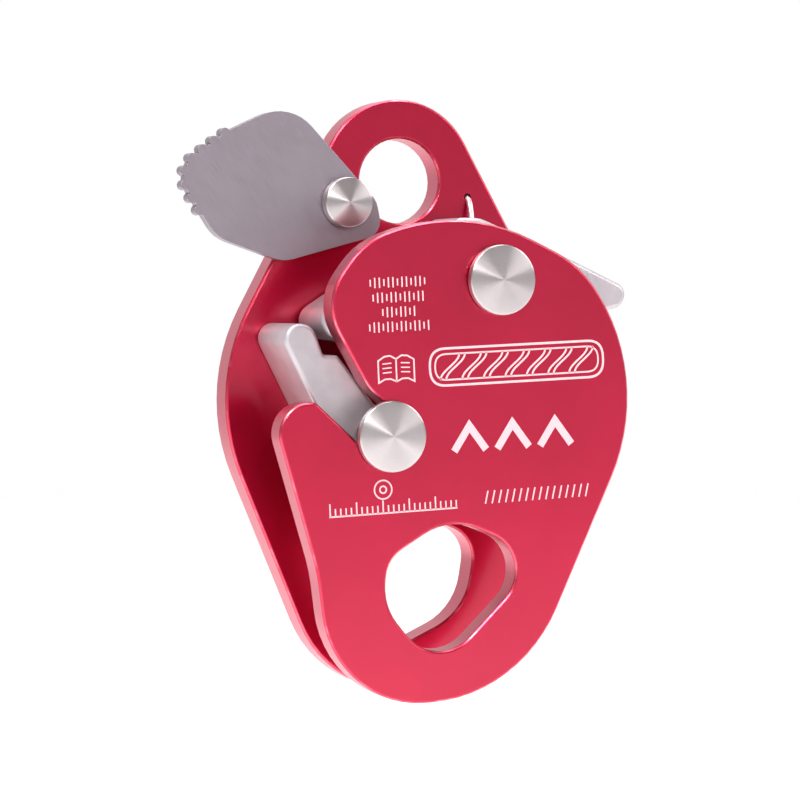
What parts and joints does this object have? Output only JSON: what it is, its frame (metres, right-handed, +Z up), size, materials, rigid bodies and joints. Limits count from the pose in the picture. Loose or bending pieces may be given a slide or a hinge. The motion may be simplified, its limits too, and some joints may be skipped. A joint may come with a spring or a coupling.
{
  "type": "removable rope grab",
  "caption": "Two-plate removable rope grab: swinging front plate with hook notch, sprung cam, anvil block, thumb lock lever, top eye and lower connector hole.",
  "frame": {"origin": "centre of the connector hole, halfway between the two side plates", "axes": "+Z up through the top eye, +X to the right seen from the front plate, +Y to the back, normal to the plates"},
  "size_m": [0.0823, 0.0293, 0.1091],
  "materials": {
    "red_anodised": "red anodised, satin, with bright chamfers",
    "turned_steel": "fine turned, bright",
    "cast_steel": "tumbled investment cast, satin",
    "brushed_lever": "diagonal brushed, satin",
    "spring_steel": "drawn wire, semi-bright",
    "bearing_bronze": "plain machined"
  },
  "bodies": {
    "frame": {"rear_plate": "red_anodised", "pivot_pin": "turned_steel", "pivot_pin_screw": "turned_steel", "pivot_wave_washer": "spring_steel", "cam_front_washer": "bearing_bronze", "cam_rear_washer": "bearing_bronze", "cam_spring": "spring_steel", "anvil": "cast_steel", "anvil_pin": "turned_steel", "anvil_pin_screw": "turned_steel", "anvil_screw": "turned_steel", "anvil_dowel": "turned_steel", "lever_washer": "spring_steel", "lever_pin": "turned_steel", "lever_pin_screw": "turned_steel"},
    "side_plate": {"front_plate": "red_anodised", "front_plate_bush": "bearing_bronze"},
    "cam": {"cam": "cast_steel", "cam_bush": "bearing_bronze"},
    "lever": {"lock_lever": "brushed_lever", "lever_bush": "bearing_bronze"}
  },
  "joints": [
    {"name": "plate_swing", "type": "hinge", "parent": "frame", "child": "side_plate", "pos_m": [0.0094, -0.0105, 0.055], "axis": [0, -1, 0], "range_deg": [0, 120]},
    {"name": "cam_pivot", "type": "hinge", "parent": "frame", "child": "cam", "pos_m": [0.0094, 0, 0.055], "axis": [0, 1, 0], "range_deg": [0, 17], "stiffness_Nm_per_rad": 0.15, "springref_deg": -28.65, "deforming": ["cam_spring"]},
    {"name": "lever_pivot", "type": "hinge", "parent": "frame", "child": "lever", "pos_m": [-0.0135, 0.006, 0.0691], "axis": [0, 1, 0], "range_deg": [0, 90]}
  ]
}
